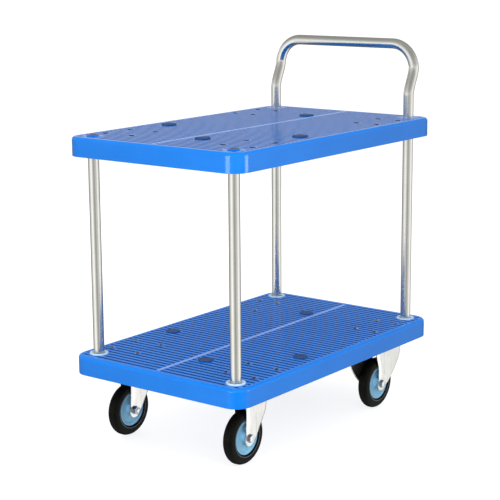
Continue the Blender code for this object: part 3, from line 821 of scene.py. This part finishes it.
def hub_mesh():
    """A pressed-looking centre: boss, dished web with a stepped rim."""
    bore = AXLE_HOLE
    boss = 0.013
    half = [(bore, 0.0154), (bore + 0.0006, 0.016), (boss - 0.0010, 0.016), (boss - 0.0003, 0.0157)]
    half += [(boss, 0.0150), (boss + 0.0006, 0.0062), (boss + 0.0014, 0.0050), (boss + 0.0030, 0.0045)]
    half += [(0.0290, 0.0045), (0.0312, 0.0049), (0.0322, 0.0060), (0.0330, 0.0088), (0.0338, 0.0100)]
    half += [(0.0350, 0.0106), (0.0382, 0.0108), (0.0390, 0.0105), (0.0391, 0.0098)]
    return shaded(to_axle(turned(mirrored_profile(half), 80, closed=True)), 40)


def axle_bolt_mesh():
    """A hexagon bolt with a washer and a domed head outside, and its nut on the far side."""
    outside = 0.0175 + 0.003 + GAP
    washer_profile = [(0.0051, 0.0012), (0.0096, 0.0012), (0.0100, 0.0009), (0.0100, 0.0), (0.0051, 0.0)]
    washer = turned(raised(outside, washer_profile), 40, closed=True)
    head = hexagon(0.0078, outside + 0.0012, outside + 0.0058, ("high",))
    dome_profile = [(0, 0.0064), (0.0035, 0.0063), (0.0062, 0.0059), (0.0066, 0.0055), (0, 0.0055)]
    dome = turned(raised(outside, dome_profile), 32)
    far = -outside
    far_washer = washer.copy()
    far_washer.transform(Matrix.Rotation(math.pi, 4, "X"))
    nut = hexagon(0.0085, far - 0.0080, far - 0.0012, ("low", "high"))
    shank = threaded(0.005, far - 0.0098, outside + 0.002, 0.0015)
    axle = to_axle(joined(head, dome, washer, far_washer, nut, shank))
    # Painted highlight: faces near the axis stay bright zinc inside the darker, painted-shade zinc of the
    # head, washer and nut.
    return shaded(paint(axle, "bolt_zinc", "bright_zinc", lambda c: math.hypot(c.x, c.z) < 0.0052))


def build_wheels():
    tyre, hub, axle = tyre_mesh(), hub_mesh(), axle_bolt_mesh()
    mirrored = axle.copy()
    mirrored.transform(Matrix.Rotation(math.pi, 4, "Z"))
    for tag in CORNERS:
        spot = centre_of(f"tyre_{tag}")
        end, side = tag.split("_")
        spinning = f"wheel_{tag}"
        carrier = f"swivel_{tag}" if end == "front" else "chassis"
        bolt = axle if side == "right" else mirrored
        add_piece(f"rubber_tyre_{tag}", tyre, [f"tyre_{tag}"], "tyre_black", spot, spinning)
        add_piece(f"wheel_centre_{tag}", hub, [f"hub_{tag}"], "hub_blue", spot, spinning)
        add_piece(f"axle_{tag}", bolt, [f"axle_bolt_{tag}"], "bolt_zinc", spot, carrier)


# ---- casters

SHEET = 0.003
LEG_MIDDLE = 0.0175 + SHEET / 2
TONGUE = 0.0165
PLATE = 0.0035
BEND = 0.005
PLATE_TOP = LOWER_TOP - BOSS_DEPTH - GAP
PRESSED_EDGE = (0.009, 0.0022)     # width and depth of the inward press along a leg's straight edge
ROLLED_EDGE = (0.0045, 0.0014)     # the same along its sloping edge
FORK_EDGES = (((-0.009, 0.079), (-0.009, 0.024)),
              ((0.055, 0.043), (0.061, 0.060), (0.062, 0.079)))
BRACKET_EDGES = (((-0.022, 0.104), (-0.020, 0.075), (-0.008, 0.040), (-0.008, 0.020)),
                 ((0.036, 0.004), (0.066, 0.031), (0.083, 0.055), (0.088, 0.076), (0.088, 0.104)))


def softened(points):
    """The same line with its corners cut twice."""
    for _ in range(2):
        cut = [points[0]]
        for (x0, z0), (x1, z1) in zip(points, points[1:]):
            cut += [(x0 * (1 - t) + x1 * t, z0 * (1 - t) + z1 * t) for t in (0.25, 0.75)]
        points = cut + [points[-1]]
    return points


def at_height(points, height):
    """Where a line that climbs steadily in z stands at this height."""
    for (x0, z0), (x1, z1) in zip(points, points[1:]):
        if z0 <= height <= z1:
            return x0 + (x1 - x0) * (height - z0) / max(z1 - z0, 0.000001)
    return points[-1][0] if height > points[-1][1] else points[0][0]


def leg_edges(edges):
    """Both edges of a leg about its axle, bottom first: round tongue, then the drawn outline."""
    leading, trailing = edges
    tongue_front = arc((0.0, -0.001), TONGUE, 266, 170, 12)
    tongue_back = arc((0.0, -0.001), TONGUE, 274, 330, 8)
    return (tongue_front + softened([tongue_front[-1]] + list(reversed(leading)))[1:],
            tongue_back + softened([tongue_back[-1]] + list(trailing))[1:])


def smooth_step(value, low, high):
    t = min(1.0, max(0.0, (value - low) / (high - low)))
    return t * t * (3 - 2 * t)


def sheet_row(low_x, high_x, middle, inward, presses, strength):
    """Points across the sheet at one place of its path; its edges are pressed inwards."""
    width = high_x - low_x
    (low_width, low_depth), (high_width, high_depth) = presses
    low_width, high_width = min(low_width, 0.4 * width), min(high_width, 0.4 * width)
    offsets = [low_width * i / 5 for i in range(6)]
    offsets += [low_width + (width - low_width - high_width) * i / 4 for i in range(1, 4)]
    offsets += [width - high_width * i / 4 for i in range(4, -1, -1)]
    row = []
    for offset in offsets:
        from_low = max(0.0, 1 - offset / low_width)
        from_high = max(0.0, 1 - (width - offset) / high_width)
        drop = strength * (low_depth * from_low ** 1.25 + high_depth * from_high ** 1.25)
        row.append((low_x + offset, middle[0] + inward[0] * drop, middle[1] + inward[1] * drop))
    return row


def blend_spans(first, second, t):
    return tuple(a + (b - a) * t for a, b in zip(first, second))


def bent_sheet(edges, crown, turned_leg):
    """A pressed U of sheet about the axle: -Y leg, crown and +Y leg, the last half round if asked."""
    front, back = leg_edges(edges)
    leg_top = crown - BEND
    heights = sorted({round(z, 5) for _, z in front + back if z < leg_top} | {round(leg_top, 5)})
    presses = (PRESSED_EDGE, ROLLED_EDGE)

    def span(height):
        return at_height(front, height), at_height(back, height)

    def strength(height):
        return smooth_step(height, 0.006, 0.026)

    leg = [(span(z), (-LEG_MIDDLE, z), (1.0, 0.0), strength(z)) for z in heights]
    for angle in (15, 30, 45, 60, 75, 90):
        a = math.radians(angle)
        place = (-LEG_MIDDLE + BEND - BEND * math.cos(a), leg_top + BEND * math.sin(a))
        leg.append((span(place[1]), place, (math.cos(a), -math.sin(a)), 1.0))
    rows = [sheet_row(*limits, place, inward, presses, push) for limits, place, inward, push in leg]
    top = leg[-1][0]
    far_top = (-top[1], -top[0]) if turned_leg else top
    far_presses = (ROLLED_EDGE, PRESSED_EDGE) if turned_leg else presses
    reach = LEG_MIDDLE - BEND
    for i in range(1, 8):
        t = i / 8
        here = blend_spans(top, far_top, t)
        pressed = tuple(blend_spans(a, b, t) for a, b in zip(presses, far_presses))
        rows.append(sheet_row(*here, (-reach + 2 * reach * t, crown), (0.0, -1.0), pressed, 1.0))
    for limits, place, inward, push in reversed(leg):
        if turned_leg:
            limits = (-limits[1], -limits[0])
        far_place, far_inward = (-place[0], place[1]), (-inward[0], inward[1])
        rows.append(sheet_row(*limits, far_place, far_inward, far_presses, push))
    bm = bmesh.new()
    grid = [[bm.verts.new(point) for point in row] for row in rows]
    for lower, upper in zip(grid, grid[1:]):
        for i in range(len(lower) - 1):
            bm.faces.new((lower[i], lower[i + 1], upper[i + 1], upper[i]))
    mesh = to_mesh(bm)
    # The second material is painted shade: the solidify's material offset gives the dark zinc to the
    # sheet's inner faces.
    mesh.materials.append(MATERIALS["bright_zinc"])
    mesh.materials.append(MATERIALS["zinc_painted_shade"])
    source = scratch(mesh)
    solid = source.modifiers.new("Sheet", "SOLIDIFY")
    solid.thickness = SHEET
    solid.offset = 0.0
    solid.material_offset = 1
    solid.use_even_offset = True
    return bevelled(evaluated(source), 0.0005, 2, 55)


def holes(pattern, low, high):
    x, y = pattern
    return cylinders(BOLT_HOLE, low, high, [(-x, -y), (-x, y), (x, -y), (x, y)])


def plate_mesh(length, width, radius):
    """A caster's top plate with softened edges, its top at PLATE_TOP."""
    low = PLATE_TOP - PLATE
    profile = [(0.0006, PLATE_TOP), (0.0001, PLATE_TOP - 0.0003), (0.0, PLATE_TOP - 0.0008),
               (0.0, low + 0.0008), (0.0001, low + 0.0003), (0.0006, low)]
    bm = bmesh.new()
    rounded_block(bm, length, width, radius, profile, 8)
    # Painted shade: the plate's underside takes the dark zinc.
    return paint(to_mesh(bm), "bright_zinc", "zinc_painted_shade", lambda centre: centre.z < low + 0.0001)


def cross_hole():
    """A cutter along Y for the axle's holes."""
    return to_axle(cylinders(AXLE_HOLE, -0.05, 0.05, [(0, 0)]))


def swivel_plate():
    low = PLATE_TOP - PLATE
    race = raised(low, [(0.0200, 0.001), (0.0360, 0.001), (0.0360, 0.0), (0.0345, -0.0003),
                        (0.0335, -0.0012), (0.0330, -0.0030), (0.0330, -0.0098), (0.0327, -0.0112),
                        (0.0318, -0.0119), (0.0306, -0.0120), (0.0206, -0.0120), (0.0200, -0.0114)])
    length, width = 0.104, 0.100
    return shaded(combined(plate_mesh(length, width, 0.010), ("UNION", turned(race, 72, closed=True)),
                           ("DIFFERENCE", cylinders(PIN_HOLE, low - 0.02, PLATE_TOP + 0.01, [(0, 0)], 32)),
                           ("DIFFERENCE", holes((0.041, 0.0395), low - 0.01, PLATE_TOP + 0.01))))


def kingpin(crown_top):
    head_top = crown_top - SHEET - GAP
    shank = raised(PLATE_TOP, [(0, 0.0), (0.0054, 0.0), (0.0060, -0.0006)])
    head = raised(head_top, [(0.0060, 0.0), (0.0106, 0.0), (0.0110, -0.0004), (0.0110, -0.0020),
                             (0.0106, -0.0030), (0.0096, -0.0038), (0.0078, -0.0045),
                             (0.0052, -0.0049), (0, -0.0050)])
    return shaded(turned(shank + head, 48))


def swivel_fork(crown_top, trail):
    """Fork about the kingpin's axis, its bearing cup on the crown; the axle trails to -X."""
    crown = crown_top - SHEET / 2 - WHEEL_RADIUS
    fork = combined(bent_sheet(FORK_EDGES, crown, False), ("DIFFERENCE", cross_hole()))
    fork.transform(Matrix.Translation((-trail, 0, WHEEL_RADIUS)))
    rim = PLATE_TOP - PLATE - 0.012 - GAP
    base = crown_top - SHEET / 2
    cup = raised(base, [(0, 0.0), (0.0240, 0.0), (0.0262, 0.0004), (0.0278, 0.0014), (0.0287, 0.0030),
                        (0.0290, 0.0050)])
    cup += raised(rim, [(0.0290, -0.0030), (0.0288, -0.0026), (0.0288, -0.0020), (0.0290, -0.0016),
                        (0.0290, -0.0006), (0.0285, 0.0), (0, 0.0)])
    bore = cylinders(PIN_HOLE, base - 0.02, rim + 0.01, [(0, 0)], 32)
    return shaded(combined(fork, ("UNION", turned(cup, 72)), ("DIFFERENCE", bore)))


def rigid_bracket():
    """Bracket about the point over the axle: a plate over a U of sheet, its legs raked opposite ways."""
    low = PLATE_TOP - PLATE
    sheet = bent_sheet(BRACKET_EDGES, low - SHEET / 2 + 0.0002 - WHEEL_RADIUS, True)
    sheet = combined(sheet, ("DIFFERENCE", cross_hole()))
    sheet.transform(Matrix.Translation((0, 0, WHEEL_RADIUS)))
    return shaded(combined(plate_mesh(0.180, 0.076, 0.010), ("UNION", sheet),
                           ("DIFFERENCE", holes((0.0475, 0.028), low - 0.01, PLATE_TOP + 0.01))))


def build_casters():
    crown_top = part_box("kingpin_left")[0].z + 0.005 + GAP + SHEET
    pins = {side: centre_of(f"kingpin_{side}") for side in SIDES}
    trail = pins["left"].x - centre_of("tyre_front_left").x
    swivel_parts = (("swivel_top_plate", swivel_plate(), "swivel_plate"),
                    ("swivel_rivet", kingpin(crown_top), "kingpin"),
                    ("pressed_fork", swivel_fork(crown_top, trail), "swivel_fork"))
    bracket = rigid_bracket()
    for side in SIDES:
        spot = (pins[side].x, pins[side].y, 0.0)
        for name, mesh, node in swivel_parts:
            body = f"swivel_front_{side}" if node == "swivel_fork" else "chassis"
            add_piece(f"{name}_{side}", mesh, [f"{node}_{side}"], "bright_zinc", spot, body)
        wheel = centre_of(f"tyre_rear_{side}")
        add_piece(f"pressed_bracket_{side}", bracket, [f"rigid_bracket_{side}"], "bright_zinc",
                  (wheel.x, wheel.y, 0.0))


# ---- stage, light and camera

def build_stage():
    """A plain pale floor, bright enough to run into the white background."""
    mesh = bpy.data.meshes.new("floor")
    half = 30.0
    corners = [(-half, -half, 0), (half, -half, 0), (half, half, 0), (-half, half, 0)]
    mesh.from_pydata(corners, [], [(0, 1, 2, 3)])
    floor = bpy.data.objects.new("floor", mesh)
    bpy.context.scene.collection.objects.link(floor)
    finish = Finish("pale_floor", Roughness=1.0, Specular_IOR_Level=0.0,
                    Emission_Color=(1.0, 1.0, 1.0, 1.0), Emission_Strength=0.80)
    shade = mixed(finish.tree, finish.noise(0.8, 3.0), (0.34, 0.34, 0.34), (0.38, 0.38, 0.38))
    finish.tree.links.new(shade, finish.shader.inputs["Base Color"])
    mesh.materials.append(finish.material)
    floor.visible_diffuse = False
    floor.visible_glossy = False


class Sky:
    """The world's node tree, with the ray direction split into azimuth and height."""

    def __init__(self, name):
        world = bpy.data.worlds.new(name)
        world.use_nodes = True
        bpy.context.scene.world = world
        self.tree = world.node_tree
        parts = self.tree.nodes.new("ShaderNodeSeparateXYZ")
        place = self.tree.nodes.new("ShaderNodeTexCoord").outputs["Generated"]
        self.tree.links.new(place, parts.inputs["Vector"])
        turn = self.maths("ARCTAN2", parts.outputs["Y"], parts.outputs["X"])
        self.azimuth = self.maths("DIVIDE", self.maths("WRAP", turn, math.tau, 0.0), math.tau)
        self.height = parts.outputs["Z"]

    def maths(self, operation, *inputs):
        node = self.tree.nodes.new("ShaderNodeMath")
        node.operation = operation
        for socket, value in zip(node.inputs, inputs):
            if isinstance(value, float):
                socket.default_value = value
            else:
                self.tree.links.new(value, socket)
        return node.outputs[0]

    def ramp(self, value, stops, span=1.0):
        """Grey levels at positions given in parts of the span."""
        node = self.tree.nodes.new("ShaderNodeValToRGB")
        elements = node.color_ramp.elements
        while len(elements) < len(stops):
            elements.new(0.5)
        for element, (place, level) in zip(elements, stops):
            element.position = place / span
            element.color = (level, level, level, 1.0)
        self.tree.links.new(value, node.inputs["Fac"])
        return node.outputs["Color"]


# How bright the studio looks to glossy surfaces, round the horizon: azimuth from +X towards +Y, level.
STUDIO_BANDS = ((0, 0.25), (20, 0.15), (60, 0.15), (84, 0.30), (110, 0.60), (135, 0.95), (155, 1.45),
                (175, 1.40), (195, 0.80), (212, 0.45), (228, 0.45), (245, 0.70), (258, 0.80),
                (272, 0.90), (290, 1.45), (303, 1.40), (315, 1.08), (330, 0.95), (342, 0.45), (360, 0.25))
CEILING = ((0.575, 1.13), (0.615, 0.50), (0.75, 0.38))      # the same overhead, by height
CEILING_SHARE = ((0.44, 0.0), (0.56, 0.6), (0.70, 0.6), (0.85, 0.9))
DOME = ((0.0, 0.14), (0.42, 0.18), (0.52, 0.50), (0.64, 0.80), (1.0, 0.95))   # matt light by height


def build_world():
    """White to the camera, a soft dome to matt surfaces, and a banded studio to glossy ones."""
    sky = Sky("studio")
    rise = sky.maths("MULTIPLY_ADD", sky.height, 0.5, 0.5)
    walls = sky.ramp(sky.azimuth, STUDIO_BANDS, 360)
    studio = mixed(sky.tree, sky.ramp(rise, CEILING_SHARE), walls, sky.ramp(rise, CEILING))
    rays = sky.tree.nodes.new("ShaderNodeLightPath")
    light = mixed(sky.tree, rays.outputs["Is Glossy Ray"], sky.ramp(rise, DOME), studio)
    shown = mixed(sky.tree, rays.outputs["Is Camera Ray"], light, (1.0, 1.0, 1.0))
    sky.tree.links.new(shown, sky.tree.nodes["Background"].inputs["Color"])


def lamp(name, azimuth, distance, height, size, power, aim=0.45):
    """A soft lamp at an azimuth (from +X towards +Y), turned to the cart's axis at the aim height."""
    light = bpy.data.lights.new(name, "AREA")
    light.shape = "RECTANGLE"
    light.size, light.size_y = size
    light.energy = power
    item = bpy.data.objects.new(name, light)
    bpy.context.scene.collection.objects.link(item)
    turn = math.radians(azimuth)
    item.location = (distance * math.cos(turn), distance * math.sin(turn), height)
    tilt = math.atan2(height - aim, distance)
    item.rotation_euler = (math.pi / 2 - tilt, 0.0, turn + math.pi / 2)
    item.visible_camera = False
    return item


def stripe_box(name, azimuth, receivers):
    """A tall soft box that only shows as a reflection in the decks' plastic."""
    item = lamp(name, azimuth, 2.6, 0.30, (1.1, 0.56), 15, 0.30)
    item.visible_diffuse = False
    item.light_linking.receiver_collection = receivers


def fill_light(name, azimuth, distance, height, size, power):
    """A soft lamp for matt surfaces, not mirrored in glossy ones."""
    lamp(name, azimuth, distance, height, size, power).visible_glossy = False


def build_lights():
    receivers = bpy.data.collections.new("decks")
    for level in ("upper", "lower"):
        receivers.objects.link(bpy.data.objects[f"{level}_deck_moulding"])
    stripe_box("left_box", 180, receivers)
    stripe_box("right_box", 293, receivers)
    fill_light("front_fill", 198, 2.8, 0.9, (2.0, 1.4), 28)
    fill_light("side_fill", 236, 1.7, 0.8, (1.2, 1.2), 9)
    fill_light("back_fill", 60, 3.0, 1.2, (2.4, 1.6), 30)


def build_camera():
    data = bpy.data.cameras.new("camera")
    data.sensor_width = 36.0
    data.lens = 105.485
    data.clip_end = 200.0
    camera = bpy.data.objects.new("camera", data)
    bpy.context.scene.collection.objects.link(camera)
    yaw, pitch, roll = math.radians(37.547), math.radians(-11.847), math.radians(0.415)
    turn = Matrix.Rotation(yaw - math.pi / 2, 4, "Z") @ Matrix.Rotation(math.pi / 2 + pitch, 4, "X")
    camera.rotation_euler = (turn @ Matrix.Rotation(-roll, 4, "Z")).to_euler()
    camera.location = (-2.7205, -2.0667, 1.1320)
    bpy.context.scene.camera = camera


def build_view():
    view = bpy.context.scene.view_settings
    view.view_transform = "Standard"
    view.look = "None"


build_camera()
build_decks()
build_plugs()
build_tubes()
build_collars()
build_caps()
build_caster_bolts()
build_post_bolts()
build_wheels()
build_casters()
build_stage()
build_world()
build_lights()
build_view()
